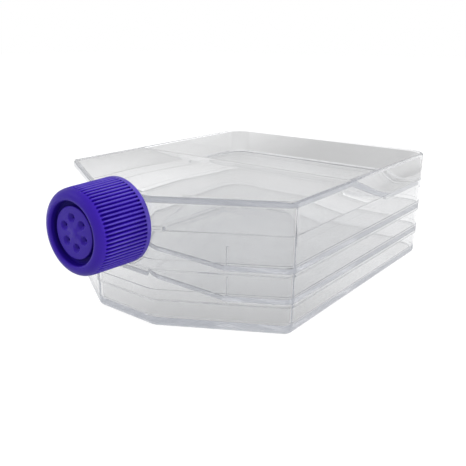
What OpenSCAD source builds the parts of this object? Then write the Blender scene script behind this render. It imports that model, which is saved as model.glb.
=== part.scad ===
// Triple-layer cell culture flask, lying flat, with a vented screw cap.
// X runs along the flask: the neck and cap are at -X and the back wall at +X.
// Y runs across it and +Z is up. The origin is at the middle of the underside
// of the whole object, cap included. All sizes are in millimetres.

/* [Body] */
// Length of the body, from the front flat to the back wall
body_len = 154; // [120:1:220]
// Width of the body
body_w = 120; // [90:1:180]
// Length of the sloping shoulders
shoulder_len = 26.4; // [15:0.2:40]
// How much wider than the neck the front flat is, on each side
front_margin = 2.1; // [1:0.1:10]
// Height of the top edge above the table
body_h = 51.3; // [50:0.1:70]
// Wall thickness
wall = 1.8; // [1.2:0.1:2.5]
// Outer radius of the two back corners
back_r = 10.5; // [4:0.5:14]
// Outer radius of the two shoulder corners
side_r = 5; // [3:0.5:12]
// Outer radius of the two corners of the front flat
front_r = 7; // [3:0.5:8]
// How much each moulding is smaller all round than the one above it
stack_inset = 0.17; // [0:0.01:0.3]

/* [Layers] */
// Height of the hollow under the floor, inside the foot rim
foot_h = 0.8; // [0.4:0.1:1.5]
// Width of the foot rim
foot_w = 1.2; // [0.8:0.1:3]
// Radius of the rounded edge all round the bottom
foot_r = 2.1; // [0.5:0.1:2.4]
// Thickness of the floor
floor_t = 2.4; // [1.6:0.1:3]
// Height from one growth plate to the next
layer_pitch = 12; // [9:0.1:12.4]
// Thickness of the growth plates and of the sunk top plate
plate_t = 2; // [1.2:0.1:2.5]
// How far each tray's wall hangs below its growth plate
foot_drop = 1; // [0.5:0.1:2]
// Distance from the front flat to the free edge of the growth plates
free_edge = 15.5; // [12:0.5:20]
// How far the foot bands and the rim band stand out from the wall
band_proud = 0.3; // [0.2:0.1:0.8]
// Height of the foot band at the bottom of a tray's wall
foot_band_h = 4.5; // [3.5:0.1:6]
// Height of the rim band at the top of the upper tray
rim_band_h = 4; // [3:0.1:5]
// Room between the small posts at the ends of a free edge and the plate above
post_room = 2.5; // [2.1:0.1:4.5]
// Thickness of a post
post_t = 1.2; // [0.8:0.1:2]
// How far a post stands in from the wall
post_w = 1.5; // [1:0.1:5]

/* [Top] */
// Height of the seam with the upper tray above the sunk plate
seam_rise = 0.5; // [0.2:0.1:1]
// Thickness of the canopy over the neck end
canopy_t = 2.5; // [1.8:0.1:3]
// Distance from the front flat to the crease where the ramp begins
crease_x = 70.5; // [60:0.5:100]
// Length of the ramp, from the crease to the sunk plate
ramp_len = 47; // [35:0.5:60]
// Fullness of the ramp: 0 is a plain parabola, higher starts more gently
ramp_full = 0.85; // [0:0.05:1.2]
// Width of the ledge that joins the sunk plate to the rim
ledge_w = 1.6; // [1:0.1:2.5]
// Height of that ledge above the seam
ledge_h = 0.8; // [0.5:0.1:1.5]
// How far past the front flat the seam stays stepped up to the neck's axis
step_margin = 4; // [2:0.5:8]

/* [Neck] */
// Distance from the top edge down to the neck's root
neck_drop = 0.1; // [0:0.1:1]
// Thickness of the room between the neck's mouth and the cap's disc
mouth_room = 1.25; // [1:0.05:1.5]
// Outer radius of the neck under the cap
neck_r = 12.9; // [12:0.1:16]
// Outer radius where the neck goes through the wall
root_r = 11.2; // [9:0.1:11.2]
// Wall thickness of the neck
neck_wall = 2; // [1.5:0.1:2.5]
// How far the neck's root reaches in from the front flat
root_len = 3; // [2.5:0.1:5]
// Length of the taper inside the neck
taper_len = 5; // [3:0.1:8]

/* [Cap] */
// Length of the cap
cap_len = 23.4; // [22.5:0.1:26]
// Room between the neck and the cap's skirt, which the threads take up
thread_room = 1.3; // [1:0.1:1.6]
// Thickness of the cap's skirt at its smooth band
cap_wall = 2.5; // [1.9:0.1:3]
// How much narrower the cap is at its front than at its back, on the radius
cap_taper = 0.6; // [0:0.1:0.8]
// Radius of the cap's rounded front edge
cap_edge_r = 3.4; // [2:0.1:4]
// Length of the smooth band at the back
band_len = 2.1; // [1.5:0.1:4]
// Chamfer on the cap's back edge
cap_chamfer = 0.3; // [0.2:0.1:0.5]
// How far the ribs run onto the rounded front edge
rib_overrun = 0.6; // [0:0.1:1.5]
// Number of grip ribs
rib_count = 66; // [48:1:72]
// Depth of the grooves between the ribs
groove_depth = 0.8; // [0.3:0.05:1]
// Extra depth of the grooves near the front
groove_extra = 0.25; // [0:0.05:0.4]
// Length of the stretch with the deeper grooves
deep_len = 5; // [3:0.5:8]
// Width of the face ring round the recess, inside the rounded edge
face_ring_w = 0.9; // [0.5:0.1:3]
// Depth of that recess, down to the disc's face
recess_depth = 1.5; // [1:0.1:3]
// Width of the channel round the disc
channel_w = 2.1; // [1:0.1:3]
// Depth of that channel below the disc's face
channel_depth = 1.6; // [0.5:0.1:1.8]
// Thickness of the disc
disc_t = 2.5; // [2.5:0.1:3]
// Number of vent holes
vent_count = 6; // [4:1:8]
// Radius of a vent hole
vent_r = 0.6; // [0.4:0.05:1]
// Radius of the dish round each vent hole, at the disc's face
dish_r = 1.75; // [1.2:0.05:2.2]
// Depth of that dish
dish_depth = 1; // [0.5:0.1:1.5]
// Radius of the circle on which the vent holes lie
vent_pitch_r = 5.5; // [4:0.1:6.5]
// Turn of the first vent hole from the top of the cap, in degrees
vent_turn = 10; // [0:1:59]

/* [Seals] */
// How far the sealing liner stands out past the neck's mouth
liner_out = 0.7; // [0:0.1:0.9]
// Width of the sealing liner's ring
liner_w = 3.4; // [2.7:0.1:3.6]
// Thickness of the vent membrane
membrane_t = 0.3; // [0.2:0.05:0.5]
// Width of the ring that holds the membrane
holder_w = 1.4; // [1:0.1:1.8]
// Thickness of that ring
holder_t = 0.9; // [0.6:0.1:1]

/* [Clearances] */
// Gap between the cap's back edge and the front flat
cap_gap = 0.45; // [0.3:0.05:1]
// How far the round flat behind the cap reaches past the cap
seat_gap = 0.5; // [0.3:0.1:1]
// Gap round the neck's root in its hole
root_gap = 0.05; // [0.02:0.01:0.1]
// Gap between the sunk plate and the upper tray's wall
nest_gap = 0.15; // [0.1:0.05:0.3]
// Gap on each side of the sealing liner
liner_gap = 0.05; // [0.03:0.01:0.1]
// Gap between the membrane's ring and the sealing liner
membrane_gap = 0.6; // [0.4:0.1:1]

/* [Hidden] */
$fn = 96;
arc_step = 7.5;      // degrees of each short side on a rounded corner
ramp_steps = 20;     // short sides along the ramp
foot_step = 15;      // degrees of each short side on the rounded bottom edge
cut = 0.01;          // overrun that keeps cut faces apart
least_r = 0.3;       // least radius left on a corner that is moved inwards
rib_top = 0.2;       // half width of a rib's top, as a share of one rib's pitch
rib_base = 0.42;     // half width of its base

clear_plastic = [0.86, 0.88, 0.90, 0.35];
cap_violet = [0.25, 0.18, 0.55];
liner_white = [0.92, 0.92, 0.90];

// Places along X, in the row's own frame
cap_front = -(cap_gap + cap_len);            // from the front flat
back_reach = body_len + max(0, band_proud - stack_inset);  // to the rim band at the back
mid_x = (cap_front + back_reach) / 2;        // from the front flat to the origin
flat_x = -mid_x;                             // the front flat
back_x = body_len - mid_x;                   // the back wall's outer face
shoulder_x = flat_x + shoulder_len;          // where the straight sides begin
edge_x = flat_x + free_edge;                 // free edge of the growth plates
ramp_x0 = flat_x + crease_x;                 // the crease
ramp_x1 = ramp_x0 + ramp_len;                // end of the ramp

// Radii round the neck's axis
front_w = 2 * (neck_r + front_margin);       // width of the front flat
step_half_w = front_w / 2 + step_margin;     // half width of the stepped seam
cap_bore_r = neck_r + thread_room;           // inside of the cap's skirt
cap_r = cap_bore_r + cap_wall;               // outside of its smooth band
recess_r = cap_r - cap_taper - cap_edge_r - face_ring_w;
liner_r = neck_r + liner_out;
membrane_r = liner_r - liner_w - membrane_gap;

// Lengths along the neck's axis, from the front flat
cap_back = cap_gap;
cap_face = cap_gap + cap_len;
disc_face = cap_face - recess_depth;
disc_back = disc_face - disc_t;
neck_len = disc_back - mouth_room;
rib_front = cap_face - cap_edge_r + rib_overrun;

// Heights
neck_z = body_h - neck_drop - root_r;        // the neck's axis
plate_z = [0, layer_pitch, 2 * layer_pitch, 3 * layer_pitch];  // undersides
seam_1 = plate_z[1] - foot_drop;             // base tray to middle tray
seam_2 = plate_z[2] - foot_drop;             // middle tray to upper tray
sunk_top = plate_z[3] + plate_t;             // top face of the sunk plate
seam_z = sunk_top + seam_rise;               // upper tray to top shell
nest_inset = wall + nest_gap;                // sunk plate inside the tray's wall

// Corners of the body, anticlockwise from the back left one:
// [x, y, radius, direction of the outward normal before, and after]
slope_a = atan2((body_w - front_w) / 2, shoulder_len);
CORNERS = [
    [back_x, body_w / 2, back_r, 0, 90],
    [shoulder_x, body_w / 2, side_r, 90, 90 + slope_a],
    [flat_x, front_w / 2, front_r, 90 + slope_a, 180],
    [flat_x, -front_w / 2, front_r, 180, 270 - slope_a],
    [shoulder_x, -body_w / 2, side_r, 270 - slope_a, 270],
    [back_x, -body_w / 2, back_r, 270, 360]
];

function unit(a) = [cos(a), sin(a)];

// Radius of a corner when both its sides are moved inwards by inset
function corner_r(c, inset) = max(c[2] - inset, least_r);

// Centre of that corner's arc: both moved sides are its radius away from it
function arc_centre(c, inset) =
    [c[0], c[1]]
    - (inset + corner_r(c, inset)) * (unit(c[3]) + unit(c[4])) / (1 + unit(c[3]) * unit(c[4]));

// The body's outline seen from above, moved inwards by inset all round
function outline(inset) = [
    for (c = CORNERS)
        let (n = ceil((c[4] - c[3]) / arc_step))
            for (k = [0 : n])
                arc_centre(c, inset) + corner_r(c, inset) * unit(c[3] + (c[4] - c[3]) * k / n)
];

// A wall that follows the outline from height z0 to z1
module wall_ring(z0, z1, outer, inner) {
    translate([0, 0, z0])
        linear_extrude(z1 - z0)
            difference() {
                polygon(outline(outer));
                polygon(outline(inner));
            }
}

// A plate that fills the outline behind the line x = from_x
module outline_plate(z0, thick, inset, from_x) {
    translate([0, 0, z0])
        linear_extrude(thick)
            intersection() {
                polygon(outline(inset));
                translate([from_x, -body_w])
                    square([2 * body_len, 2 * body_w]);
            }
}

// The two small posts that stiffen the ends of a plate's free edge, from the
// plate's top face at z0 up to a little below the plate above
module edge_posts(z0, inset) {
    post_h = layer_pitch - plate_t - post_room;
    reach = body_w / 2 - (shoulder_len - free_edge) * tan(slope_a);
    intersection() {
        linear_extrude(z0 + post_h)
            polygon(outline(inset + wall / 2));
        for (side = [-1, 1])
            translate([edge_x, side * reach - post_w - wall, z0 - cut])
                cube([post_t, 2 * (post_w + wall), post_h + cut]);
    }
}

// A tray's wall with the proud foot band that stands on the tray below
module tray_wall(z0, z1, inset) {
    wall_ring(z0, z1, inset, inset + wall);
    wall_ring(z0, z0 + foot_band_h, inset - band_proud, inset + wall);
}

// The hole that holds the neck, as a solid to cut away
module neck_hole() {
    translate([flat_x - wall, 0, neck_z])
        rotate([0, 90, 0])
            cylinder(r = root_r + root_gap, h = 4 * wall);
}

// The round flat behind the cap, clear of the bands, where the neck seats
module neck_seat() {
    translate([flat_x - wall, 0, neck_z])
        rotate([0, 90, 0])
            cylinder(r = cap_r + seat_gap, h = wall);
}

// The solid bottom of a tray up to height z1, with its lower edge rounded
module rounded_bottom(z1, inset) {
    rings = concat(
        [for (a = [-90 : foot_step : 0]) [foot_r * (1 + sin(a)), inset + foot_r * (1 - cos(a))]],
        [[z1, inset]]
    );
    n = len(outline(inset));
    last = len(rings) - 1;
    polyhedron(
        points = [for (r = rings) for (p = outline(r[1])) [p[0], p[1], r[0]]],
        faces = concat(
            [[for (k = [0 : n - 1]) k]],
            [for (i = [0 : last - 1]) for (k = [0 : n - 1])
                [i * n + k, (i + 1) * n + k, (i + 1) * n + (k + 1) % n, i * n + (k + 1) % n]],
            [[for (k = [n - 1 : -1 : 0]) last * n + k]]
        )
    );
}

module base_tray() {
    inset = 3 * stack_inset;
    color(clear_plastic) {
        wall_ring(foot_h + floor_t - cut, seam_1, inset, inset + wall);
        difference() {
            rounded_bottom(foot_h + floor_t, inset);
            // the hollow inside the foot rim
            translate([0, 0, -cut])
                linear_extrude(foot_h + cut)
                    polygon(outline(inset + foot_r + foot_w));
        }
    }
}

module middle_tray() {
    inset = 2 * stack_inset;
    color(clear_plastic) {
        tray_wall(seam_1, seam_2, inset);
        outline_plate(plate_z[1], plate_t, inset + wall / 2, edge_x);
        edge_posts(plate_z[1] + plate_t, inset);
    }
}

module upper_tray() {
    inset = stack_inset;
    color(clear_plastic)
        difference() {
            union() {
                tray_wall(seam_2, seam_z, inset);
                wall_ring(seam_z - rim_band_h, seam_z, inset - band_proud, inset + wall);
                // the seam steps up to the middle of the neck's hole
                intersection() {
                    wall_ring(seam_z - cut, neck_z, 0, inset + wall);
                    translate([flat_x - wall, -step_half_w, 0])
                        cube([shoulder_len, 2 * step_half_w, body_h]);
                }
                outline_plate(plate_z[2], plate_t, inset + wall / 2, edge_x);
                edge_posts(plate_z[2] + plate_t, inset);
            }
            neck_hole();
            neck_seat();
        }
}

// Height of the top sheet's upper face at distance x from the front flat
function sheet_top(t) = sunk_top + (body_h - sunk_top) * pow(1 - t, 2) * (1 + ramp_full * t);

// The top sheet's section: canopy, ramp and sunk plate, from front to back
module sheet_section() {
    ramp = [for (k = [0 : ramp_steps]) k / ramp_steps];
    top = [for (t = ramp) [ramp_x0 + ramp_len * t, sheet_top(t)]];
    low = [
        for (t = ramp)
            [ramp_x0 + ramp_len * t, sheet_top(t) - plate_t - (canopy_t - plate_t) * pow(1 - t, 4)]
    ];
    polygon(concat(
        [[flat_x, body_h]], top,
        [[back_x, sunk_top], [back_x, plate_z[3]]],
        [for (k = [ramp_steps : -1 : 0]) low[k]],
        [[flat_x, body_h - canopy_t]]
    ));
}

module top_shell() {
    low_inset = stack_inset + nest_inset;
    color(clear_plastic)
        difference() {
            union() {
                wall_ring(seam_z, body_h, 0, wall);
                // the sheet, kept inside the tray's wall where it hangs below the seam
                intersection() {
                    translate([0, body_w, 0])
                        rotate([90, 0, 0])
                            linear_extrude(2 * body_w)
                                sheet_section();
                    union() {
                        outline_plate(plate_z[3], seam_z - plate_z[3] + cut, low_inset, flat_x);
                        outline_plate(seam_z, body_h - seam_z, wall / 2, flat_x);
                    }
                }
                // the ledge that joins the sunk plate to the rim
                intersection() {
                    union() {
                        wall_ring(plate_z[3], seam_z + ledge_h, low_inset, low_inset + ledge_w);
                        wall_ring(seam_z, seam_z + ledge_h, wall / 2, low_inset + ledge_w);
                    }
                    translate([ramp_x1 - ramp_len / 4, -body_w, 0])
                        cube([body_len, 2 * body_w, body_h]);
                }
            }
            neck_hole();
            translate([flat_x - wall, -step_half_w - root_gap, 0])
                cube([shoulder_len + wall, 2 * (step_half_w + root_gap), neck_z]);
        }
}

// A ring-shaped solid round the neck's axis from its section, where a point
// is [radius, distance in front of the front flat]
module round_neck_axis() {
    translate([flat_x, 0, neck_z])
        rotate([0, -90, 0])
            children();
}

module neck() {
    root_bore = root_r - neck_wall;
    mouth_bore = neck_r - neck_wall;
    color(clear_plastic)
        round_neck_axis()
            rotate_extrude()
                polygon([
                    [root_bore, -root_len], [root_r, -root_len], [root_r, 0], [neck_r, 0],
                    [neck_r, neck_len - neck_wall / 4], [neck_r - neck_wall / 4, neck_len],
                    [mouth_bore, neck_len], [mouth_bore, taper_len], [root_bore, 0]
                ]);
}

// Outer radius of the cap at distance s in front of the front flat
function cap_outer(s) = cap_r - cap_taper * (s - cap_back) / cap_len;

// A prism with the ribs' section, from s0 to s1, with grooves down to root
module ribs(s0, s1, root) {
    step = 360 / rib_count;
    translate([0, 0, s0])
        linear_extrude(s1 - s0)
            polygon([
                for (k = [0 : rib_count - 1])
                    for (p = [[-rib_base, root], [-rib_top, cap_r], [rib_top, cap_r], [rib_base, root]])
                        p[1] * unit((k + p[0]) * step)
            ]);
}

// The recess in the cap's face, with a channel round the raised disc, as a solid
module face_recess() {
    disc_r = recess_r - channel_w;
    rotate_extrude()
        polygon([
            [0, disc_face], [disc_r, disc_face], [disc_r, disc_face - channel_depth],
            [recess_r, disc_face - channel_depth], [recess_r, cap_face + cut], [0, cap_face + cut]
        ]);
}

// A vent hole with a dish that opens on the disc's face, as a solid
module vent_hole() {
    slope = (dish_r - vent_r) / dish_depth;
    rotate_extrude($fn = 32)
        polygon([
            [0, disc_back - cut], [vent_r, disc_back - cut], [vent_r, disc_face - dish_depth],
            [dish_r + slope * cut, disc_face + cut], [0, disc_face + cut]
        ]);
}

module cap_shell() {
    edge_r = cap_outer(cap_face);
    arc = [for (a = [0 : 10 : 90]) [edge_r - cap_edge_r, cap_face - cap_edge_r] + cap_edge_r * unit(a)];
    root_r1 = cap_outer(cap_back + band_len) - groove_depth;
    root_r2 = cap_outer(rib_front - deep_len) - groove_depth - groove_extra;
    color(cap_violet)
        round_neck_axis()
            difference() {
                intersection() {
                    rotate_extrude()
                        polygon(concat(
                            [[0, cap_back], [cap_r - cap_chamfer, cap_back], [cap_r, cap_back + cap_chamfer]],
                            arc, [[0, cap_face]]
                        ));
                    union() {
                        translate([0, 0, cap_back - cut])
                            cylinder(r = cap_r + cut, h = band_len + cut);
                        ribs(cap_back + band_len - cut, rib_front - deep_len, root_r1);
                        ribs(rib_front - deep_len, rib_front, root_r2);
                        translate([0, 0, rib_front - cut])
                            cylinder(r = cap_r + cut, h = cap_face - rib_front + 2 * cut);
                    }
                }
                translate([0, 0, cap_back - cut])
                    cylinder(r = cap_bore_r, h = disc_back - cap_back + cut);
                face_recess();
                for (k = [0 : vent_count - 1])
                    rotate([0, 0, vent_turn + 360 * k / vent_count])
                        translate([vent_pitch_r, 0, 0])
                            vent_hole();
            }
}

// A flat ring round the neck's axis that starts s in front of the front flat
module flat_ring(s, thick, outer, inner) {
    round_neck_axis()
        translate([0, 0, s])
            difference() {
                cylinder(r = outer, h = thick);
                if (inner > 0)
                    translate([0, 0, -cut])
                        cylinder(r = inner, h = thick + 2 * cut);
            }
}

module sealing_liner() {
    color(liner_white)
        flat_ring(neck_len + liner_gap, disc_back - neck_len - 2 * liner_gap, liner_r, liner_r - liner_w);
}

module vent_membrane() {
    color(liner_white)
        flat_ring(disc_back - membrane_t, membrane_t, membrane_r, 0);
}

module membrane_ring() {
    color(liner_white)
        flat_ring(disc_back - membrane_t - holder_t, holder_t, membrane_r, membrane_r - holder_w);
}

base_tray();
middle_tray();
upper_tray();
top_shell();
neck();
cap_shell();
sealing_liner();
vent_membrane();
membrane_ring();
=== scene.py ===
# %% [markdown]
# # A stacked-tray cell culture flask
# This lesson dresses a flat laboratory flask for a picture. The flask is water-clear moulded
# polystyrene, welded from four shallow mouldings, with a ribbed violet screw cap. The exact
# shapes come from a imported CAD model, which is a fixed frame: nothing in it is moved. Clear
# plastic shows every edge, so most of the work is in soft edges, in clean seams and in the
# light around the object. Lengths are in metres, as Blender wants them, but a section is drawn
# in millimetres, as on a workshop drawing, and MM turns one into the other.

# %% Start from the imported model
import math

import bmesh
import bpy
from mathutils import Matrix, Vector


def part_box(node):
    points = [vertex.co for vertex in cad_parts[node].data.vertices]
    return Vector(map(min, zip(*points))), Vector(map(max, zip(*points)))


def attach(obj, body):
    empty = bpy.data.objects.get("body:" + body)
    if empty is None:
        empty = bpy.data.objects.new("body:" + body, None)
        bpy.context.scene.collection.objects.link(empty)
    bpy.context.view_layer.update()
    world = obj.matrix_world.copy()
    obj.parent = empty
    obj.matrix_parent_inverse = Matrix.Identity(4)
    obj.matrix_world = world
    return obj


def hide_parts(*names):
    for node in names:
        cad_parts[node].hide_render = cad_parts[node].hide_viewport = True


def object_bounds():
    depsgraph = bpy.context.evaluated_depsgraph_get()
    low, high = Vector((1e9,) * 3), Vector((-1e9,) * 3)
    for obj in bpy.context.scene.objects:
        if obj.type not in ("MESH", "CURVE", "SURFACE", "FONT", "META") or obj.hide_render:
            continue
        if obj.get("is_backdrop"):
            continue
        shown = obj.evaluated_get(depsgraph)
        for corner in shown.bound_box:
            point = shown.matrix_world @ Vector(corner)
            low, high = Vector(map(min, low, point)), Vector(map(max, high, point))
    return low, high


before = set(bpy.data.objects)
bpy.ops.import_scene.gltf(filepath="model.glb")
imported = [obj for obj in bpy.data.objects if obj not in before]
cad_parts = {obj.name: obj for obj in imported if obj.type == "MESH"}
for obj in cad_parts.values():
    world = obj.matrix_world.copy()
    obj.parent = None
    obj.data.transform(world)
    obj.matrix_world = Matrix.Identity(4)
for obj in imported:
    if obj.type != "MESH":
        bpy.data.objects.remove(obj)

MM = 0.001
MERGE = 0.001 * MM
cad_low, cad_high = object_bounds()
print("nodes:", ", ".join(sorted(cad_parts)))
print("CAD box in mm:", [round(v / MM, 2) for v in cad_high - cad_low])

# %% [markdown]
# ## The camera
# The flask is looked at from the cap's side and a little above, so that the sloping shoulder,
# the long wall and the sunk top all show. The camera sits on a circle round a point inside the
# flask. A small shift frames the flask as a picture editor would, and a tiny roll levels the
# table's line.

# %% Place the camera
AIM = Vector((-12.805, 0, 32.54)) * MM
AZIMUTH, ELEVATION, ROLL = math.radians(-50.845), math.radians(15.748), math.radians(0.145)
DISTANCE = 272.977 * MM

away = Vector((
    math.sin(AZIMUTH) * math.cos(ELEVATION),
    -math.cos(AZIMUTH) * math.cos(ELEVATION),
    math.sin(ELEVATION),
))
eye = bpy.data.cameras.new("studio_camera")
camera = bpy.data.objects.new("studio_camera", eye)
bpy.context.scene.collection.objects.link(camera)
camera.location = AIM + away * DISTANCE
camera.rotation_mode = "QUATERNION"
camera.rotation_quaternion = (-away).to_track_quat("-Z", "Y") @ Matrix.Rotation(ROLL, 3, "Z").to_quaternion()
eye.sensor_width = 36
eye.lens = 47.419
eye.shift_x, eye.shift_y = 0.0527, -0.0513
eye.clip_start, eye.clip_end = 0.01, 20
bpy.context.scene.camera = camera
print("camera at", [round(v, 4) for v in camera.location])

# %% [markdown]
# ## Editing by hand, from a script
# Every new piece is modelled as a person would do it in edit mode: something is selected, and
# a tool acts on it. These short helpers deselect everything, open a piece for editing and
# select parts of it by their place, so that each later step reads as one action.

# %% Helpers for modelling
def let_go():
    if bpy.context.mode != "OBJECT":
        bpy.ops.object.mode_set(mode="OBJECT")
    bpy.ops.object.select_all(action="DESELECT")


def take(piece):
    let_go()
    piece.select_set(True)
    bpy.context.view_layer.objects.active = piece


def open_piece(piece):
    take(piece)
    bpy.ops.object.mode_set(mode="EDIT")
    bpy.ops.mesh.select_mode(type="VERT")
    bpy.ops.mesh.select_all(action="SELECT")


def pick(piece, kind, wanted):
    """Selects the vertices, edges or faces that are wanted, and nothing else."""
    bpy.ops.mesh.select_mode(type=kind)
    bpy.ops.mesh.select_all(action="DESELECT")
    mesh = bmesh.from_edit_mesh(piece.data)
    parts = {"VERT": mesh.verts, "EDGE": mesh.edges, "FACE": mesh.faces}[kind]
    found = [part for part in parts if wanted(part)]
    for part in found:
        part.select_set(True)
    bmesh.update_edit_mesh(piece.data)
    return len(found)


def finish_mesh(piece, smooth_below):
    """Leaves edit mode and smooths the shading across every edge softer than the angle."""
    take(piece)
    bpy.ops.object.shade_smooth_by_angle(angle=math.radians(smooth_below))
    print(piece.name, "has", len(piece.data.vertices), "vertices and", len(piece.data.polygons), "faces")


def apply_modifier(piece, kind, name, **settings):
    take(piece)
    modifier = piece.modifiers.new(name, kind)
    for key, value in settings.items():
        setattr(modifier, key, value)
    bpy.ops.object.modifier_apply(modifier=modifier.name)


print("helpers for modelling: let_go, take, open_piece, pick, finish_mesh, apply_modifier")

# %% [markdown]
# ## The clear mouldings
# The real flask is a stack: a base tray, a middle tray and an upper tray, closed by a top shell
# whose rear part is sunk. Low bands run round the stack at the welded joints. The heights of the
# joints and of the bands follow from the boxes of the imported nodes, so they are measured first.

# %% Measure the stack
SHELL_LOW, SHELL_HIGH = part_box("top_shell")
FLAT_X, MIDDLE = SHELL_LOW.x, (SHELL_LOW + SHELL_HIGH) / 2
LIP, BAND_UP = 1.5 * MM, 4.5 * MM
JOINTS = {name: [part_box(name)[1].z] for name in ("base_tray", "middle_tray", "upper_tray")}
JOINTS["upper_tray"].insert(0, JOINTS["upper_tray"][0] - LIP)
JOINT_HEIGHTS = [height for heights in JOINTS.values() for height in heights]
BAND_HEIGHTS = [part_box(name)[0].z + BAND_UP for name in ("middle_tray", "upper_tray")]
BAND_HEIGHTS.append(SHELL_LOW.z - LIP)
print("joints at", [round(height / MM, 2) for height in JOINT_HEIGHTS], "mm")
print("bands at", [round(height / MM, 2) for height in BAND_HEIGHTS], "mm")

# %% [markdown]
# Clear plastic without rounded edges looks like a drawing, because an edge only glints where it
# is round. How round it is depends on its place in the mould, so each kind of edge is told apart
# by its place and gets its own radius. The joints are the exception: the real ones are welded,
# so an edge on a joint stays sharp.

# %% Tell the kinds of edge apart
# The base tray's floor, the shell's nested ledge, and the corner that holds the neck's hole.
INSIDE_FLOOR = 3.2 * MM
NESTED_LOW, NESTED_HIGH = 35.5 * MM, 39.9 * MM
HOLE_BACK, HOLE_SIDE, HOLE_FOOT = FLAT_X + 6 * MM, 12 * MM, 28 * MM
RADII = {"floor": 1.2, "rim": 0.9, "inner rim": 0.5, "edge": 0.4, "nested": 0.2, "band": 0.12}
WIDEST = max(RADII.values())
SHARP = math.radians(35)


def is_at(vertex, height):
    return abs(vertex.co.z - height) < 0.01 * MM


def at_height(edge, height):
    return all(is_at(v, height) for v in edge.verts)


def round_neck_hole(edge):
    return all(v.co.x < HOLE_BACK and abs(v.co.y) < HOLE_SIDE and v.co.z > HOLE_FOOT for v in edge.verts)


def faces_out(edge):
    """True where the upright face beside a level edge looks away from the middle."""
    side = min(edge.link_faces, key=lambda f: abs(f.normal.z)).normal
    return side.dot((edge.verts[0].co + edge.verts[1].co) / 2 - MIDDLE) > 0


def edge_kind(edge, node):
    """Names the rounding of an edge, or None for a soft edge, a seam or the neck's hole."""
    if len(edge.link_faces) != 2 or edge.calc_face_angle(0) < SHARP:
        return None
    if any(at_height(edge, joint) for joint in JOINT_HEIGHTS) or round_neck_hole(edge):
        return None
    if any(at_height(edge, band) for band in BAND_HEIGHTS):
        return "band"
    if node == "top_shell" and at_height(edge, SHELL_HIGH.z):
        return "rim" if faces_out(edge) else "inner rim"
    if node == "base_tray":
        return "floor" if at_height(edge, INSIDE_FLOOR) else "nested"
    if node == "top_shell" and all(NESTED_LOW < v.co.z < NESTED_HIGH for v in edge.verts):
        return "nested"
    return "edge"


print("radii in mm:", RADII)

# %% [markdown]
# The exact shapes exist already, so each moulding is a copy of its CAD node. A CAD mesh is loose
# triangles, so the copy is merged, and its flat areas are dissolved into single faces. The
# radius of each edge is written as a bevel weight, and one Bevel modifier rounds them all. A
# vertex that the rounding pushes past the moulding's own box is brought back to it. At a joint,
# the lower moulding bites a fiftieth of a millimetre into the upper one, and light then crosses
# as if the plastic were one body. Last, weighted normals keep the big walls flat to the eye, so
# that only the rounded edges bend the light.

# %% Copy the mouldings and round their edges
FLAT_WITHIN, BITE = math.radians(0.5), 0.02 * MM


def copy_moulding(node, name):
    piece = bpy.data.objects.new(name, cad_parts[node].data.copy())
    bpy.context.scene.collection.objects.link(piece)
    piece.data.materials.clear()
    open_piece(piece)
    bpy.ops.mesh.remove_doubles(threshold=MERGE)
    bpy.ops.mesh.dissolve_limited(angle_limit=FLAT_WITHIN)
    counts = {}
    for kind, radius in RADII.items():
        counts[kind] = pick(piece, "EDGE", lambda e: edge_kind(e, node) == kind)
        if counts[kind]:
            bpy.ops.transform.edge_bevelweight(value=radius / WIDEST)
    print(" ", node, "edges:", counts)
    for joint in JOINTS.get(node, []):
        pick(piece, "VERT", lambda v: is_at(v, joint))
        bpy.ops.transform.translate(value=(0, 0, BITE))
    bpy.ops.mesh.select_all(action="SELECT")
    bpy.ops.mesh.vert_connect_concave()
    let_go()
    apply_modifier(
        piece, "BEVEL", "rounded edges", width=WIDEST * MM, segments=4, limit_method="WEIGHT",
        use_clamp_overlap=False,
    )
    low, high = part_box(node)
    high.z += BITE
    for vertex in piece.data.vertices:
        vertex.co = [min(max(c, least), most) for c, least, most in zip(vertex.co, low, high)]
    finish_mesh(piece, smooth_below=35)
    apply_modifier(piece, "WEIGHTED_NORMAL", "flat walls", mode="FACE_AREA", weight=100, keep_sharp=True)
    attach(piece, "flask")
    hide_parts(node)
    return piece


base_tray = copy_moulding("base_tray", "clear_base_tray")
middle_tray = copy_moulding("middle_tray", "clear_middle_tray")
upper_tray = copy_moulding("upper_tray", "clear_upper_tray")
top_shell = copy_moulding("top_shell", "clear_top_shell")

# %% [markdown]
# ## Turned pieces
# The neck, the cap, the liner and the vents are all round about the neck's axis, and on a lathe
# or in a mould they come from one section. Here too: a single corner is extruded from point to
# point until the section is drawn. A point of a section is its radius and its distance in front
# of the flask's front flat.

# %% Draw a section
NECK_LOW, NECK_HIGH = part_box("neck")
AXIS_Z = (NECK_LOW.z + NECK_HIGH.z) / 2
AXIS = Vector((FLAT_X, 0, AXIS_Z))
print("neck axis at height", round(AXIS_Z / MM, 2), "mm, front flat at", round(FLAT_X / MM, 2), "mm")


def on_section(radius, front):
    return AXIS + Vector((-front * MM, 0, radius * MM))


def draw_section(name, section):
    """A closed wire loop through the section's points, left in edit mode."""
    let_go()
    bpy.ops.mesh.primitive_plane_add(size=MM, location=on_section(*section[0]))
    piece = bpy.context.object
    piece.name = name
    bpy.ops.object.transform_apply(location=True, rotation=True, scale=True)
    open_piece(piece)
    bpy.ops.mesh.merge(type="CENTER")
    for here, there in zip(section, section[1:]):
        step = on_section(*there) - on_section(*here)
        bpy.ops.mesh.extrude_vertices_move(TRANSFORM_OT_translate={"value": step})
    ends = [on_section(*section[0]), on_section(*section[-1])]
    pick(piece, "VERT", lambda v: min((v.co - end).length for end in ends) < MERGE)
    bpy.ops.mesh.edge_face_add()
    return piece


# %% [markdown]
# Then the section is spun round the axis. A spin can leave the shape inside out, and it leaves
# two vertices where it closes, so doubles are merged and the normals are recalculated after it.

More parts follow.
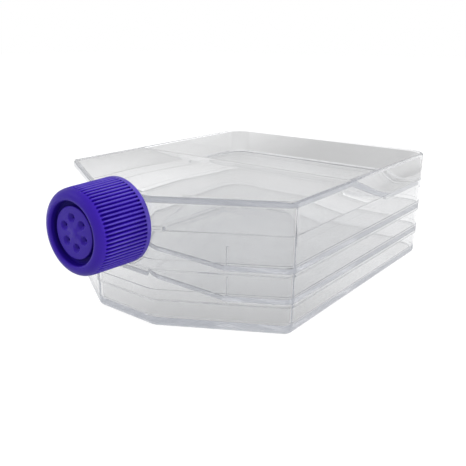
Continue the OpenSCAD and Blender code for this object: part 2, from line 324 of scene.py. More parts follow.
# %% Spin a section round the axis
STEPS, SMALL_STEPS = 96, 32


def tidy_mesh(piece):
    open_piece(piece)
    bpy.ops.mesh.remove_doubles(threshold=MERGE)
    bpy.ops.mesh.normals_make_consistent(inside=False)


def turn(name, section, steps):
    """A closed solid of revolution from a section."""
    piece = draw_section(name, section)
    bpy.ops.mesh.select_all(action="SELECT")
    bpy.ops.mesh.spin(steps=steps, angle=math.tau, center=AXIS, axis=(1, 0, 0))
    tidy_mesh(piece)
    return piece


print("a full turn has", STEPS, "steps, a small one", SMALL_STEPS)

# %% [markdown]
# ## Screw threads
# The cap runs on a thread with a pitch of 4 mm. Each thread is a ridge: a small section that
# climbs as it turns. The Screw modifier does both at once round the piece's own X axis, so the
# ridge's origin is put on the neck's axis first. The two open ends are shrunk towards the wall,
# as a real thread runs out, and closed.

# %% Make a thread ridge
PITCH, STEPS_PER_TURN, END_SHRINK = 4.0, 48, 0.35


def thread_ridge(name, section, turns, run_out):
    piece = draw_section(name, section)
    let_go()
    bpy.context.scene.cursor.location = AXIS
    take(piece)
    bpy.ops.object.origin_set(type="ORIGIN_CURSOR")
    steps = round(STEPS_PER_TURN * turns)
    apply_modifier(
        piece, "SCREW", "thread", axis="X", angle=-math.tau * turns, screw_offset=-PITCH * turns * MM,
        steps=steps, render_steps=steps, use_normal_calculate=False, use_merge_vertices=False,
    )
    take(piece)
    bpy.ops.object.transform_apply(location=True, rotation=True, scale=True)
    bpy.context.scene.cursor.location = (0, 0, 0)
    open_piece(piece)
    pick(piece, "EDGE", lambda e: e.is_boundary)
    bpy.ops.mesh.edge_face_add()
    mesh = bmesh.from_edit_mesh(piece.data)
    caps = [f.calc_center_median().copy() for f in mesh.faces if f.select]
    print(" ", name, "has", len(caps), "ends")
    for cap in caps:
        pick(piece, "FACE", lambda f: len(f.verts) > 4 and (f.calc_center_median() - cap).length < 0.01 * MM)
        radial = Vector((0, cap.y, cap.z - AXIS_Z)).normalized()
        root = Vector((cap.x, 0, AXIS_Z)) + radial * run_out * MM
        bpy.ops.transform.resize(value=(END_SHRINK, END_SHRINK, END_SHRINK), center_override=root)
    bpy.ops.mesh.select_all(action="SELECT")
    bpy.ops.mesh.normals_make_consistent(inside=False)
    return piece


print("thread pitch", PITCH, "mm,", STEPS_PER_TURN, "steps in a turn")

# %% [markdown]
# ## The neck
# The neck is a clear tube that passes through the front flat. In front of it there is a small
# bead, then the thread, and the mouth is rounded so that the liner seals on it. It is hidden
# while the cap is on, but it shows through the clear wall behind the cap and when the cap is
# unscrewed. The thread is united with the tube, because two clear solids that overlap would
# bend the light twice.

# %% Turn the neck and add its thread
NECK_SECTION = [
    (9.2, -3.0), (11.2, -3.0), (11.2, 0.0), (12.9, 0.0), (12.9, 1.1), (13.25, 1.25), (13.45, 1.6),
    (13.25, 1.95), (12.9, 2.1), (12.9, 17.9), (12.8, 18.3), (12.45, 18.6), (11.35, 18.6), (11.0, 18.35),
    (10.9, 18.0), (10.9, 5.0), (9.2, 0.0),
]
NECK_THREAD = [
    (12.7, 8.2), (12.95, 8.25), (13.65, 8.65), (13.7, 9.0), (13.65, 9.35), (12.95, 9.75), (12.7, 9.8),
]
neck = turn("clear_neck", NECK_SECTION, STEPS)
ridge = thread_ridge("neck_thread", NECK_THREAD, turns=1.6, run_out=12.75)
let_go()
apply_modifier(neck, "BOOLEAN", "unite thread", operation="UNION", object=ridge, solver="EXACT")
bpy.data.objects.remove(ridge)
finish_mesh(neck, smooth_below=32)
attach(neck, "flask")
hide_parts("neck")

# %% [markdown]
# ## The cap's shell
# The cap is a short cylinder with a rounded front edge and 66 grip ribs. One rib is one
# sixty-sixth of a turn, so the section is spun through that angle only, the groove is pressed
# into the wedge's middle, and the Array modifier copies the wedge round an empty that is turned
# by one rib. The grooves are a little deeper near the front, where the mould's pins began, and
# they run out on the rounded edge.

# %% Measure the cap
CAP_LOW, CAP_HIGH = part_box("cap_shell")
CAP_BACK = (FLAT_X - CAP_HIGH.x) / MM
CAP_FACE = (FLAT_X - CAP_LOW.x) / MM
CAP_R = (CAP_HIGH.z - CAP_LOW.z) / 2 / MM
RIBS, COLUMNS = 66, 8
TAPER, EDGE_R, BORE_R = 0.6, 3.4, 14.2
DISC_BACK, CHANNEL_FLOOR = CAP_FACE - 4.0, CAP_FACE - 3.1
RECESS_R = CAP_R - TAPER - EDGE_R - 0.9
BAND_END, DEEP_START, GROOVE_END = CAP_BACK + 2.1, CAP_FACE - 10.5, CAP_FACE - 2.78


def skirt(front):
    """The skirt's outer radius at a distance in front of the flat."""
    return CAP_R - TAPER * (front - CAP_BACK) / (CAP_FACE - CAP_BACK)


print("cap from", round(CAP_BACK, 2), "to", round(CAP_FACE, 2), "mm in front, radius", round(CAP_R, 2))

# %% [markdown]
# The section runs from the raised disc's edge through the channel round it, over the rounded
# front edge, back along the outside, and home through the bore. The outside has a point wherever
# a groove will start, deepen or end, so that the groove has vertices to move there.

# %% Spin one wedge of the cap
quarter = [math.radians(degrees) for degrees in range(90, -1, -10)]
rounded = [
    (skirt(CAP_FACE) - EDGE_R * (1 - math.cos(angle)), CAP_FACE - EDGE_R * (1 - math.sin(angle)))
    for angle in quarter
]
skirt_stops = [
    CAP_FACE - 5.0, CAP_FACE - 5.3, CAP_FACE - 7.5, DEEP_START + 0.6, DEEP_START, 8.0,
    BAND_END + 1.2, BAND_END + 0.9, BAND_END + 0.15, BAND_END, CAP_BACK + 0.3,
]
SHELL_SECTION = (
    [(9.0, DISC_BACK), (9.0, CHANNEL_FLOOR), (RECESS_R - 0.4, CHANNEL_FLOOR),
     (RECESS_R - 0.15, CAP_FACE - 3.0), (RECESS_R - 0.05, CAP_FACE - 2.7), (RECESS_R, CAP_FACE - 0.8),
     (RECESS_R + 0.06, CAP_FACE - 0.45), (RECESS_R + 0.2, CAP_FACE - 0.2), (RECESS_R + 0.42, CAP_FACE - 0.05)]
    + rounded
    + [(skirt(s), s) for s in skirt_stops]
    + [(CAP_R - 0.3, CAP_BACK), (BORE_R + 0.25, CAP_BACK), (BORE_R, CAP_BACK + 0.25),
       (BORE_R, DISC_BACK - 0.3), (BORE_R - 0.3, DISC_BACK)]
)
WEDGE = math.tau / RIBS
shell = draw_section("ribbed_cap", SHELL_SECTION)
bpy.ops.mesh.select_all(action="SELECT")
bpy.ops.mesh.spin(steps=COLUMNS, angle=WEDGE, center=AXIS, axis=(1, 0, 0))
mesh = bmesh.from_edit_mesh(shell.data)
lean = [math.atan2(v.co.y, v.co.z - AXIS_Z) for v in mesh.verts]
side = -1 if min(lean) < -0.001 else 1
print("wedge leans", [round(math.degrees(angle), 2) for angle in (min(lean), max(lean))], "degrees")

# %% [markdown]
# The wedge now starts at the top of the cap and leans to one side. Each column of vertices is
# pressed in by its own share of the groove's depth: the middle column fully, its neighbours
# less, and the two outer ones hardly at all, which leaves a rounded ridge between two grooves.

# %% Press the groove into the wedge
GROOVE = {4: 1.0, 3: 0.86, 5: 0.86, 2: 0.26, 6: 0.26, 1: 0.03, 7: 0.03}
STRETCHES = [
    (BAND_END + 0.1, BAND_END + 1.0, 1.0), (BAND_END + 1.0, DEEP_START + 0.1, 0.8),
    (DEEP_START + 0.1, CAP_FACE - 5.1, 1.0), (CAP_FACE - 5.1, GROOVE_END, 1.1),
]


def place_on_cap(vertex):
    """Angle from the top, radius and distance in front of the flat, of a vertex."""
    y, z = vertex.co.y, vertex.co.z - AXIS_Z
    return math.atan2(y, z), math.hypot(y, z) / MM, (FLAT_X - vertex.co.x) / MM


def on_groove(vertex, column, start, end):
    angle, radius, front = place_on_cap(vertex)
    in_column = abs(angle - side * column * WEDGE / COLUMNS) < 0.0005
    return in_column and radius > BORE_R + 0.4 and start < front < end


for column, share in GROOVE.items():
    outwards = Vector((0, math.sin(side * column * WEDGE / COLUMNS), math.cos(column * WEDGE / COLUMNS)))
    moved = 0
    for start, end, depth in STRETCHES:
        moved += pick(shell, "VERT", lambda v: on_groove(v, column, start, end))
        bpy.ops.transform.translate(value=-outwards * depth * share * MM)
    print("column", column, "pressed in at", moved, "vertices")

# %% [markdown]
# The pressed wedge is one groove with half a rib on each side. The Array modifier places each
# copy by the empty's turn from the one before, and its Merge options weld the seams between
# them, the last to the first too. No open edge may be left on the shell.

# %% Copy the wedge round the axis
one_rib = Matrix.Translation(AXIS) @ Matrix.Rotation(-side * WEDGE, 4, "X") @ Matrix.Translation(-AXIS)
let_go()
bpy.ops.object.empty_add()
turning = bpy.context.object
turning.matrix_world = one_rib
bpy.context.view_layer.update()
apply_modifier(
    shell, "ARRAY", "ribs", count=RIBS, use_relative_offset=False, use_object_offset=True,
    offset_object=turning, use_merge_vertices=True, use_merge_vertices_cap=True, merge_threshold=0.005 * MM,
)
bpy.data.objects.remove(turning)
tidy_mesh(shell)
mesh = bmesh.from_edit_mesh(shell.data)
print("open edges left on the shell:", sum(e.is_boundary for e in mesh.edges))

# %% [markdown]
# ## The cap's disc and vents
# A vented cap breathes through six dished holes in a raised disc, with a film welded behind
# them. The disc is turned on its own, with a low hub in the middle. The cutter for a vent is a
# trumpet shape, turned on the axis and moved out to its place, six times over. The flare gives
# each hole a soft rim without another bevel. Then the disc is united with the shell.

# %% Turn the disc and cut the vents
DISC_FACE = CAP_FACE - 1.5
DISC_SECTION = [
    (0.0, DISC_BACK + 0.02), (9.45, DISC_BACK + 0.02), (9.7, DISC_BACK + 0.3), (9.7, DISC_FACE - 0.35),
    (9.62, DISC_FACE - 0.14), (9.4, DISC_FACE), (1.9, DISC_FACE), (1.6, DISC_FACE + 0.12),
    (0.0, DISC_FACE + 0.14),
]
VENT_SECTION = [
    (0.0, DISC_BACK - 1.0), (0.5, DISC_BACK - 1.0), (0.5, DISC_FACE - 1.3), (0.6, DISC_FACE - 1.15),
    (0.95, DISC_FACE - 0.98), (1.3, DISC_FACE - 0.6), (1.55, DISC_FACE - 0.25), (1.8, DISC_FACE - 0.06),
    (2.05, DISC_FACE + 0.02), (2.05, DISC_FACE + 0.6), (0.0, DISC_FACE + 0.6),
]
VENTS, VENT_CIRCLE, FIRST_VENT = 6, 5.5 * MM, math.radians(10)
disc = turn("cap_disc", DISC_SECTION, STEPS)
for number in range(VENTS):
    vent = turn("vent_cutter", VENT_SECTION, SMALL_STEPS)
    angle = FIRST_VENT + number * math.tau / VENTS
    bpy.ops.mesh.select_all(action="SELECT")
    bpy.ops.transform.translate(value=(0, VENT_CIRCLE * math.sin(angle), VENT_CIRCLE * math.cos(angle)))
    let_go()
    apply_modifier(disc, "BOOLEAN", "vent", operation="DIFFERENCE", object=vent, solver="EXACT")
    bpy.data.objects.remove(vent)
let_go()
apply_modifier(shell, "BOOLEAN", "unite disc", operation="UNION", object=disc, solver="EXACT")
bpy.data.objects.remove(disc)
print("cap with its disc:", len(shell.data.polygons), "faces")

# %% [markdown]
# The thread inside the cap is a second ridge, half a pitch behind the neck's, so that the two
# run between each other. The cap is opaque, so here the ridge only needs to sink into the wall,
# and it is joined to the cap's mesh.

# %% Add the inside thread
CAP_THREAD = [
    (14.35, 5.6), (14.1, 5.65), (13.4, 6.1), (13.35, 6.4), (13.4, 6.7), (14.1, 7.15), (14.35, 7.2),
]
ridge = thread_ridge("cap_thread", CAP_THREAD, turns=1.3, run_out=14.3)
take(ridge)
shell.select_set(True)
bpy.context.view_layer.objects.active = shell
bpy.ops.object.join()
finish_mesh(shell, smooth_below=42)
apply_modifier(shell, "WEIGHTED_NORMAL", "flat faces", mode="FACE_AREA", weight=80, keep_sharp=True)
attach(shell, "cap")
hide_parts("cap_shell")

# %% [markdown]
# ## The sealing liner
# A foam ring lies loose in the cap and is squeezed on the neck's mouth. Its edges are cut, then
# rubbed round, so the section has small corners of its own.

# %% Turn the liner
LINER_LOW, LINER_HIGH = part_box("sealing_liner")
LINER_WIDTH = 3.4
back, face = (FLAT_X - LINER_HIGH.x) / MM, (FLAT_X - LINER_LOW.x) / MM
outer = (LINER_HIGH.z - LINER_LOW.z) / 2 / MM
inner, round_by = outer - LINER_WIDTH, 0.18
LINER_SECTION = [
    (inner + round_by, back), (outer - round_by, back), (outer, back + round_by), (outer, face - round_by),
    (outer - round_by, face), (inner + round_by, face), (inner, face - round_by), (inner, back + round_by),
]
liner = turn("foam_liner", LINER_SECTION, STEPS)
finish_mesh(liner, smooth_below=50)
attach(liner, "liner")
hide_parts("sealing_liner")

# %% [markdown]
# ## Shared surface effects
# Some effects belong to more than one finish, so each is a node group with named sockets. A
# group only puts out values that change over the surface; the shader itself stays in each
# material. Wiring nodes is always the same work: a node is made, and each of its sockets is fed
# with a link, a number or a colour. These helpers do that.

# %% Helpers for nodes
def new_group(name, inputs, outputs):
    group = bpy.data.node_groups.new(name, "ShaderNodeTree")
    for title, kind, value in inputs:
        socket = group.interface.new_socket(title, in_out="INPUT", socket_type=kind)
        if value is not None:
            socket.default_value = value
    for title, kind in outputs:
        group.interface.new_socket(title, in_out="OUTPUT", socket_type=kind)
    return group, group.nodes.new("NodeGroupInput"), group.nodes.new("NodeGroupOutput")


def feed(tree, source, socket):
    """Links an output to the socket, or writes a number or a colour into it."""
    if isinstance(source, bpy.types.NodeSocket):
        tree.links.new(source, socket)
    elif socket.type == "RGBA":
        socket.default_value = (*source, 1)
    else:
        socket.default_value = source


def add_node(tree, kind, **inputs):
    node = tree.nodes.new(kind)
    for title, source in inputs.items():
        feed(tree, source, node.inputs[title])
    return node


def add_noise(tree, vector, scale, detail):
    return add_node(tree, "ShaderNodeTexNoise", Vector=vector, Scale=scale, Detail=detail).outputs["Fac"]


print("helpers for nodes: new_group, feed, add_node, add_noise")

# %% [markdown]
# The first group is the fine grain and the slow mottle that every moulded part has. Both are
# noises, and their scales are sockets, because each plastic has its own grain.

# %% Build the moulded grain group
grain_group, g_in, g_out = new_group(
    "moulded_grain",
    [
        ("Vector", "NodeSocketVector", None), ("Grain Scale", "NodeSocketFloat", 3000.0),
        ("Mottle Scale", "NodeSocketFloat", 60.0),
    ],
    [("Grain", "NodeSocketFloat"), ("Mottle", "NodeSocketFloat")],
)
for title, detail in (("Grain", 3), ("Mottle", 4)):
    noise = add_noise(grain_group, g_in.outputs["Vector"], g_in.outputs[title + " Scale"], detail)
    feed(grain_group, noise, g_out.inputs[title])
print("group sockets:", [s.name for s in grain_group.interface.items_tree])

# %% [markdown]
# The second group is handling: faint smudges where gloves have touched the plastic, and a few
# hairline scratches. Scratches are a Voronoi pattern's cell borders, stretched long and thin and
# kept only where a noise lets them through.

# %% Build the handling marks group
def add_math(tree, operation, first, *others):
    """One math node, or a chain of them where three or more values are joined."""
    for other in others or [None]:
        node = tree.nodes.new("ShaderNodeMath")
        node.operation = operation
        feed(tree, first, node.inputs[0])
        if other is not None:
            feed(tree, other, node.inputs[1])
        first = node.outputs[0]
    return first


def add_range(tree, value, low, high, out_low=0.0, out_high=1.0):
    """A soft step from one output to the other, between the low and the high value."""
    node = add_node(tree, "ShaderNodeMapRange", Value=value)
    node.interpolation_type = "SMOOTHSTEP"
    for title, number in zip(("From Min", "From Max", "To Min", "To Max"), (low, high, out_low, out_high)):
        node.inputs[title].default_value = number
    return node.outputs["Result"]


marks_group, m_in, m_out = new_group(
    "handling_marks",
    [("Vector", "NodeSocketVector", None)],
    [("Smudge", "NodeSocketFloat"), ("Scratch", "NodeSocketFloat")],
)
place = m_in.outputs["Vector"]
smudge = add_range(marks_group, add_noise(marks_group, place, 28.0, 5), 0.5, 0.72)
feed(marks_group, smudge, m_out.inputs["Smudge"])
stretch = add_node(
    marks_group, "ShaderNodeMapping", Vector=place, Rotation=(0.2, 0.1, 0.5), Scale=(12.0, 240.0, 90.0)
)
cells = add_node(marks_group, "ShaderNodeTexVoronoi", Vector=stretch.outputs["Vector"], Scale=1.0)
cells.feature = "DISTANCE_TO_EDGE"
line = add_range(marks_group, cells.outputs["Distance"], 0.0, 0.012, 1.0, 0.0)
gate = add_range(marks_group, add_noise(marks_group, place, 45.0, 2), 0.58, 0.66)
feed(marks_group, add_math(marks_group, "MULTIPLY", line, gate), m_out.inputs["Scratch"])
print("handling marks:", len(marks_group.nodes), "nodes")

# %% [markdown]
# The third group gives two lengths in millimetres: how far a point is from the neck's axis, and
# how far in front of the front flat. The cap's rib crests are lighter, partly worn and partly a
# painted highlight, and its grooves are darker with painted shade, the liner is pressed where the
# mouth sits, and the film's ring has a turned face, so all three need to know where a point is on
# the section.

# %% Build the distance from axis group
axis_group, a_in, a_out = new_group(
    "distance_from_axis",
    [("Vector", "NodeSocketVector", None), ("Axis Height", "NodeSocketFloat", AXIS_Z)],
    [("Distance", "NodeSocketFloat"), ("Forward", "NodeSocketFloat")],
)
parts = add_node(axis_group, "ShaderNodeSeparateXYZ", Vector=a_in.outputs["Vector"])
rise = add_math(axis_group, "SUBTRACT", parts.outputs["Z"], a_in.outputs["Axis Height"])
squares = [add_math(axis_group, "MULTIPLY", leg, leg) for leg in (rise, parts.outputs["Y"])]
distance = add_math(axis_group, "SQRT", add_math(axis_group, "ADD", *squares))
forward = add_math(axis_group, "SUBTRACT", FLAT_X, parts.outputs["X"])
for title, length in (("Distance", distance), ("Forward", forward)):
    feed(axis_group, add_math(axis_group, "DIVIDE", length, MM), a_out.inputs[title])
print("distance from axis:", len(axis_group.nodes), "nodes")

# %% [markdown]
# ## Materials
# Every material starts from the same few nodes: the Principled BSDF and the piece's own Object
# coordinates, which stay with the piece when it moves.

# %% Start a material
def new_material(name):
    material = bpy.data.materials.new(name)
    material.use_nodes = True
    tree = material.node_tree
    shader = tree.nodes["Principled BSDF"]
    place = tree.nodes.new("ShaderNodeTexCoord")
    return material, tree, shader, place.outputs["Object"]


def use_group(tree, group, vector, **values):
    node = tree.nodes.new("ShaderNodeGroup")
    node.node_tree = group
    feed(tree, vector, node.inputs["Vector"])
    for title, value in values.items():
        node.inputs[title.replace("_", " ")].default_value = value
    return node.outputs


def add_bump(tree, shader, height, strength, distance):
    bump = add_node(tree, "ShaderNodeBump", Height=height, Strength=strength, Distance=distance)
    feed(tree, bump.outputs["Normal"], shader.inputs["Normal"])


def add_mix(tree, factor, first, second, kind="RGBA"):
    node = tree.nodes.new("ShaderNodeMix")
    node.data_type = kind
    for title, source in (("Factor", factor), ("A", first), ("B", second)):
        feed(tree, source, node.inputs[title])
    return node.outputs["Result"]


def add_weighted(tree, *terms):
    """The sum of several values, each times its own weight."""
    return add_math(tree, "ADD", *[add_math(tree, "MULTIPLY", value, weight) for value, weight in terms])


def dress(piece, material):
    if piece.data.materials:
        for index in range(len(piece.data.materials)):
            piece.data.materials[index] = material
    else:
        piece.data.materials.append(material)
    print(piece.name, "is dressed in", material.name)


print("helpers for materials: new_material, use_group, add_bump, add_mix, add_weighted, dress")

# %% [markdown]
# ### Clear polystyrene
# Polystyrene bends light strongly, so walls seen edge on turn grey by total reflection. Light
# that is caught inside a wall would go round for ever and come out black. In a real moulding it
# meets fine dust and flow lines, which scatter it. Here the volume absorbs light over a few
# centimetres and glows a cool grey by the same amount, a painted glow that stands in for the
# scattered light: a thin wall stays clear, and a long path turns pale grey. Smudges and fine
# scratches make the polish uneven, the colour is a little uneven too, and the slow waviness of
# the mould is a faint bump.

# %% Make the clear plastic
POLYSTYRENE_IOR = 1.57
CLEAR_TINTS = (0.885, 0.888, 0.893), (0.905, 0.907, 0.912)
HAZE, HAZE_GLOW_COLOUR, BLACK = 12.0, (0.49, 0.508, 0.552), (0, 0, 0)
clear, tree, shader, place = new_material("clear_polystyrene")
shader.inputs["Transmission Weight"].default_value = 1.0
shader.inputs["IOR"].default_value = POLYSTYRENE_IOR
grain = use_group(tree, grain_group, place, Grain_Scale=900.0, Mottle_Scale=22.0)
marks = use_group(tree, marks_group, place)
feed(tree, add_weighted(tree, (marks["Smudge"], 0.045), (marks["Scratch"], 0.12)), shader.inputs["Roughness"])
add_bump(tree, shader, add_noise(tree, place, 30.0, 1), 0.1, 0.05 * MM)
tone = add_range(tree, grain["Mottle"], 0.35, 0.65)
feed(tree, add_mix(tree, tone, *CLEAR_TINTS), shader.inputs["Base Color"])
# Painted glow: the volume emits a cool grey in place of light scattered inside the plastic.
absorb = add_node(tree, "ShaderNodeVolumeAbsorption", Color=BLACK, Density=HAZE)
painted_haze_glow = add_node(tree, "ShaderNodeEmission", Color=HAZE_GLOW_COLOUR, Strength=HAZE)
haze = tree.nodes.new("ShaderNodeAddShader")
feed(tree, absorb.outputs["Volume"], haze.inputs[0])
feed(tree, painted_haze_glow.outputs["Emission"], haze.inputs[1])
feed(tree, haze.outputs["Shader"], tree.nodes["Material Output"].inputs["Volume"])
for piece in (base_tray, middle_tray, upper_tray, top_shell, neck):
    dress(piece, clear)

# %% [markdown]
# ### Violet polyethylene
# The cap is a deep blue-violet with a satin finish. The crests of the ribs are lighter, partly
# rubbed by gloves and partly a painted highlight, and the grooves are darker with painted shade.
# The channel round the disc is darker with painted shade too, and duller, because nothing
# polishes it. A fine grain and a few scratches break up the highlights.

# %% Make the violet plastic
VIOLETS = (0.034, 0.009, 0.33), (0.043, 0.013, 0.375)
# SHADED_VIOLET is painted shade for the grooves and the channel; the lighter crest violet is partly wear and
# partly a painted highlight.
SHADED_VIOLET, WORN_AND_HIGHLIT_VIOLET = (0.012, 0.001, 0.21), (0.1, 0.07, 0.42)


def add_band(tree, value, rise, fall):
    """One between two edges and nothing outside them. Each edge is a short soft step."""
    upward = add_range(tree, value, *rise)
    return add_math(tree, "MULTIPLY", upward, add_range(tree, value, *fall, 1.0, 0.0))


violet, tree, shader, place = new_material("violet_polyethylene")
grain = use_group(tree, grain_group, place, Grain_Scale=2600.0, Mottle_Scale=90.0)
marks = use_group(tree, marks_group, place)
ring = use_group(tree, axis_group, place)
slope = TAPER / (CAP_FACE - CAP_BACK)
lean_in = add_math(tree, "MULTIPLY", ring["Forward"], slope)
crest_r = add_math(tree, "SUBTRACT", CAP_R + slope * CAP_BACK, lean_in)
depth = add_math(tree, "SUBTRACT", crest_r, ring["Distance"])
behind_edge = add_range(tree, ring["Forward"], CAP_FACE - 3.3, CAP_FACE - 2.6, 1.0, 0.0)
outside = add_range(tree, ring["Distance"], BORE_R + 0.2, BORE_R + 0.5)
on_ribs = add_math(tree, "MULTIPLY", behind_edge, outside)
sunk = add_range(tree, ring["Forward"], CAP_FACE - 1.2, CAP_FACE - 0.3, 1.0, 0.0)
channel = add_band(tree, ring["Distance"], (9.62, 9.72), (RECESS_R + 0.1, RECESS_R + 0.5))
channel = add_math(tree, "MULTIPLY", channel, sunk)
groove = add_math(tree, "MULTIPLY", on_ribs, add_range(tree, depth, 0.15, 0.6))
crest = add_math(tree, "MULTIPLY", on_ribs, add_range(tree, depth, 0.0, 0.25, 1.0, 0.0))
# Painted highlight, partly wear: the rib crests are mixed towards a lighter violet.
wear_and_highlight = add_math(tree, "MULTIPLY", crest, add_range(tree, grain["Mottle"], 0.3, 0.7, 0.5, 1.0))
body = add_mix(tree, grain["Mottle"], *VIOLETS)
# Painted shade: the grooves and the channel round the disc are mixed towards a darker violet.
body = add_mix(tree, add_math(tree, "MAXIMUM", groove, channel), body, SHADED_VIOLET)
feed(tree, add_mix(tree, wear_and_highlight, body, WORN_AND_HIGHLIT_VIOLET), shader.inputs["Base Color"])
shader.inputs["Specular IOR Level"].default_value = 0.22
uneven = add_weighted(tree, (grain["Grain"], 0.12), (marks["Smudge"], 0.06), (channel, 0.3))
feed(tree, add_math(tree, "ADD", uneven, 0.30), shader.inputs["Roughness"])
height = add_weighted(tree, (grain["Grain"], 1.0), (marks["Scratch"], -0.5))
add_bump(tree, shader, height, 0.12, 0.03 * MM)
dress(shell, violet)

# %% [markdown]
# ### Liner foam
# The liner is closed-cell foam, so a Voronoi pattern of small cells makes both its bump and its
# slight colour change. The band that the neck's mouth presses is a little darker.

# %% Make the foam
FOAM_WHITES, PRESSED_FOAM = ((0.80, 0.79, 0.76), (0.90, 0.89, 0.87)), (0.70, 0.69, 0.67)
foam, tree, shader, place = new_material("liner_foam")
ring = use_group(tree, axis_group, place)
bubbles = add_node(tree, "ShaderNodeTexVoronoi", Vector=place, Scale=2600.0).outputs["Distance"]
body = add_mix(tree, add_range(tree, bubbles, 0.0, 0.8), *FOAM_WHITES)
pressed = add_band(tree, ring["Distance"], (10.8, 11.2), (12.6, 13.0))
body = add_mix(tree, add_math(tree, "MULTIPLY", pressed, 0.5), body, PRESSED_FOAM)
feed(tree, body, shader.inputs["Base Color"])
feed(tree, add_range(tree, bubbles, 0.0, 0.8, 0.75, 0.95), shader.inputs["Roughness"])
add_bump(tree, shader, bubbles, 0.5, 0.08 * MM)
dress(liner, foam)

# %% [markdown]
# ### Vent film and its ring
# The film is a matt web of fine fibres, so its noise is drawn out into short threads. Its ring
# is plain moulded white with fine turned lines, which a sine of the distance from the axis
# draws. Both sit behind the disc, and the film only shows through the six vents.

# %% Make the film and the ring
FILM_WHITES = (0.78, 0.78, 0.77), (0.93, 0.93, 0.92)
RING_WHITES = (0.80, 0.80, 0.78), (0.87, 0.87, 0.85)
film, tree, shader, place = new_material("vent_film")
fibres = add_node(tree, "ShaderNodeMapping", Vector=place, Scale=(1.0, 6.0, 0.7))
web = add_noise(tree, fibres.outputs["Vector"], 2200.0, 6)
grain = use_group(tree, grain_group, place, Grain_Scale=5000.0, Mottle_Scale=300.0)
feed(tree, add_mix(tree, web, *FILM_WHITES), shader.inputs["Base Color"])
feed(tree, add_range(tree, grain["Mottle"], 0.3, 0.7, 0.7, 0.9), shader.inputs["Roughness"])
add_bump(tree, shader, web, 0.4, 0.04 * MM)
dress(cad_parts["vent_membrane"], film)

moulded_white, tree, shader, place = new_material("film_ring_white")
grain = use_group(tree, grain_group, place, Grain_Scale=3200.0, Mottle_Scale=200.0)
ring = use_group(tree, axis_group, place)
lathe = add_math(tree, "SINE", add_math(tree, "MULTIPLY", ring["Distance"], 40.0))
feed(tree, add_mix(tree, grain["Mottle"], *RING_WHITES), shader.inputs["Base Color"])
feed(tree, add_range(tree, grain["Grain"], 0.3, 0.7, 0.45, 0.6), shader.inputs["Roughness"])
add_bump(tree, shader, add_weighted(tree, (grain["Grain"], 1.0), (lathe, 0.3)), 0.2, 0.02 * MM)
dress(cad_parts["membrane_ring"], moulded_white)

# %% [markdown]
# ## The studio
# Clear plastic has no colour of its own: it shows what is around it. The world is a soft white
# tent, brightest behind the object and darker in front and overhead, so that the walls turn a
# light grey against a white backdrop. Each kind of ray can meet its own tent: rays through the
# plastic see the brightest one, mirrored rays a dimmer one, and diffuse rays a plain soft grey.
# Seen directly, the backdrop is white.

# %% Build the tent
WHITE = (1, 1, 1)
BACKWARD = Vector((-away.x, -away.y, 0)).normalized()
RIGHTWARD = Vector((-away.y, away.x, 0)).normalized()


def add_along(tree, vector, direction):
    """How far a vector reaches in a direction."""
    node = tree.nodes.new("ShaderNodeVectorMath")
    node.operation = "DOT_PRODUCT"
    feed(tree, vector, node.inputs[0])
    feed(tree, direction, node.inputs[1])
    return node.outputs["Value"]


def mix_shaders(tree, factor, first, second):
    node = tree.nodes.new("ShaderNodeMixShader")
    for socket, source in zip(node.inputs, (factor, first, second)):
        feed(tree, source, socket)
    return node.outputs["Shader"]


world = bpy.data.worlds.new("light_tent")
bpy.context.scene.world = world
world.use_nodes = True
tree = world.node_tree
tree.nodes.clear()
direction = tree.nodes.new("ShaderNodeTexCoord").outputs["Generated"]
behind = add_along(tree, direction, BACKWARD)
overhead = add_range(tree, add_along(tree, direction, (0, 0, 1)), 0.15, 0.6)
tent = add_mix(tree, overhead, add_range(tree, behind, -0.6, 0.6, 0.6, 0.92), 0.5, "FLOAT")
mirrored = add_range(tree, behind, -0.6, 0.6, 0.42, 0.72)
ambient = add_range(tree, add_along(tree, direction, -RIGHTWARD), -0.8, 0.8, 0.42, 0.45)
ray = tree.nodes.new("ShaderNodeLightPath").outputs
light = add_node(tree, "ShaderNodeBackground", Color=tent).outputs[0]
for kind, level in (("Is Glossy Ray", mirrored), ("Is Diffuse Ray", ambient), ("Is Camera Ray", WHITE)):
    other = add_node(tree, "ShaderNodeBackground", Color=level).outputs[0]
    light = mix_shaders(tree, ray[kind], light, other)
add_node(tree, "ShaderNodeOutputWorld", Surface=light)
print("tent:", len(tree.nodes), "nodes")
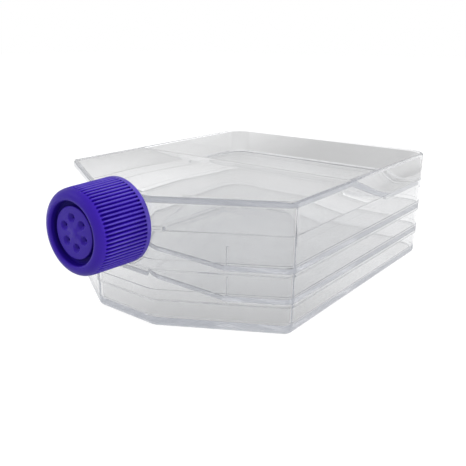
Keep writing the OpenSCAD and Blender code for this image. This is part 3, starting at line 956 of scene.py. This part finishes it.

# %% [markdown]
# The table is white. Most of its brightness is its own, so that it meets the backdrop without a
# line, and the rest is plain reflected light, which keeps the flask's soft shadow. For rays that
# come through or off the flask, a pool of light is painted into the table's own glow: it is
# brightest just behind the flask and dimmer in front, far behind and to the right, as under a
# lamp that hangs behind the flask.

# %% Lay the table
TABLE_SIZE, TABLE_GAP = 6, 0.2 * MM
PAPER_SHARE, PAPER, SEEN_GLOW = 0.25, (0.9, 0.9, 0.9), 1.22
let_go()
bpy.ops.mesh.primitive_plane_add(size=TABLE_SIZE, location=(0, 0, -TABLE_GAP))
table = bpy.context.object
table.name = "white_table"
bpy.ops.object.transform_apply(location=True)
table_white = bpy.data.materials.new("table_white")
table_white.use_nodes = True
tree = table_white.node_tree
tree.nodes.clear()
place = tree.nodes.new("ShaderNodeTexCoord").outputs["Object"]
rearward, sideways = add_along(tree, place, BACKWARD), add_along(tree, place, RIGHTWARD)
# Painted pool of light: the glow is strongest just behind the flask, dimmer in front, far behind and to the
# right.
nearer = add_range(tree, rearward, -0.12, 0.06, 0.28, 1.0)
farther = add_range(tree, rearward, 0.12, 0.32, 1.66, 0.86)
righter = add_range(tree, sideways, 0.03, 0.12, 0.99, 0.66)
strength = add_math(tree, "MULTIPLY", nearer, farther, righter)
ray = tree.nodes.new("ShaderNodeLightPath").outputs
strength = add_mix(tree, ray["Is Camera Ray"], strength, SEEN_GLOW, "FLOAT")
glow = add_node(tree, "ShaderNodeEmission", Color=WHITE, Strength=strength).outputs[0]
paper = add_node(tree, "ShaderNodeBsdfDiffuse", Color=PAPER).outputs[0]
add_node(tree, "ShaderNodeOutputMaterial", Surface=mix_shaders(tree, PAPER_SHARE, glow, paper))
dress(table, table_white)
table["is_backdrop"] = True

# %% [markdown]
# Three soft boxes shape the cap. The small one on the right, behind, lights the upper ribs, the
# one beside the cap lifts its right half, and the one on the left lights its face from above.
# The flat plastic would mirror them as hard white rectangles, so they are seen neither through
# it nor in it: they only light what is opaque.

# %% Hang the soft boxes
def soft_box(name, location, aim, width, height, watts):
    light = bpy.data.lights.new(name, "AREA")
    light.shape, light.size, light.size_y, light.energy = "RECTANGLE", width, height, watts
    box = bpy.data.objects.new(name, light)
    bpy.context.scene.collection.objects.link(box)
    box.location = location
    box.rotation_mode = "QUATERNION"
    box.rotation_quaternion = (Vector(aim) - Vector(location)).to_track_quat("-Z", "Y")
    box.visible_transmission = False
    box.visible_glossy = False


CAP_MIDDLE, UPPER_RIBS, BOUNCES = (-0.075, 0, 0.04), (-0.075, 0, 0.045), 32
soft_box("right_box", (0.596, -0.417, 0.467), UPPER_RIBS, 0.25, 0.25, 4.5)
soft_box("side_box", (-0.10, -0.80, 0.35), CAP_MIDDLE, 0.5, 0.4, 4.5)
soft_box("left_box", (-0.62, 0.50, 0.50), CAP_MIDDLE, 0.5, 0.5, 3.0)
scene = bpy.context.scene
scene.view_settings.view_transform = "Standard"
scene.cycles.max_bounces = scene.cycles.glossy_bounces = scene.cycles.transmission_bounces = BOUNCES

# %% Measure and finish
new_low, new_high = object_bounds()
differences = [abs(a - b) for a, b in zip([*cad_low, *cad_high], [*new_low, *new_high])]
print("largest difference in mm:", round(max(differences) / MM, 3))
